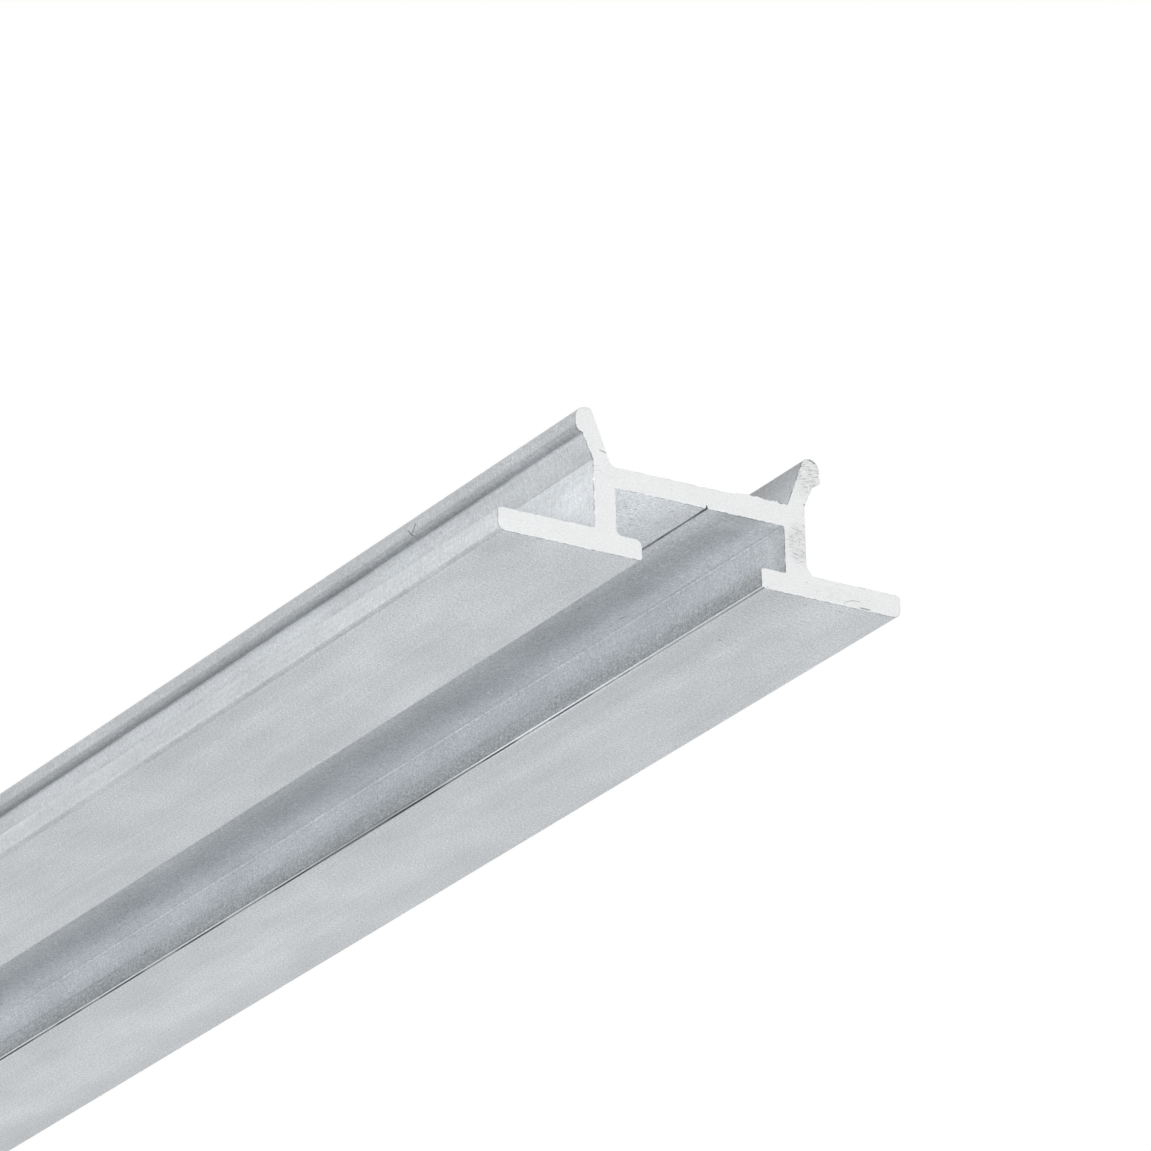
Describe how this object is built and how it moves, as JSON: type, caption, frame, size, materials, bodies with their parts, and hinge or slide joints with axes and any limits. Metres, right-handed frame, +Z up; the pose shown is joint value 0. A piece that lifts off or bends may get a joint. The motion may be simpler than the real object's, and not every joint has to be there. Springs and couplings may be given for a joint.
{
  "type": "slotted ceiling grid profile",
  "caption": "Extruded aluminium ceiling grid tee with flat panel flanges, an open T-slot below, and two outward-leaning beaded horns along its top for hanger clips.",
  "frame": {"origin": "middle of the length and of the width, on the plane of the flanges' undersides, which is the face that shows in a finished ceiling", "axes": "+Y along the length, +X across the flanges, +Z up from the undersides towards the horns"},
  "size_m": [0.038, 0.6, 0.0122],
  "materials": {
    "mill_aluminium": "mill finish as extruded, with faint die lines along the length and plain sawn ends"
  },
  "bodies": {
    "root": {"tee_profile": "mill_aluminium"}
  },
  "joints": []
}
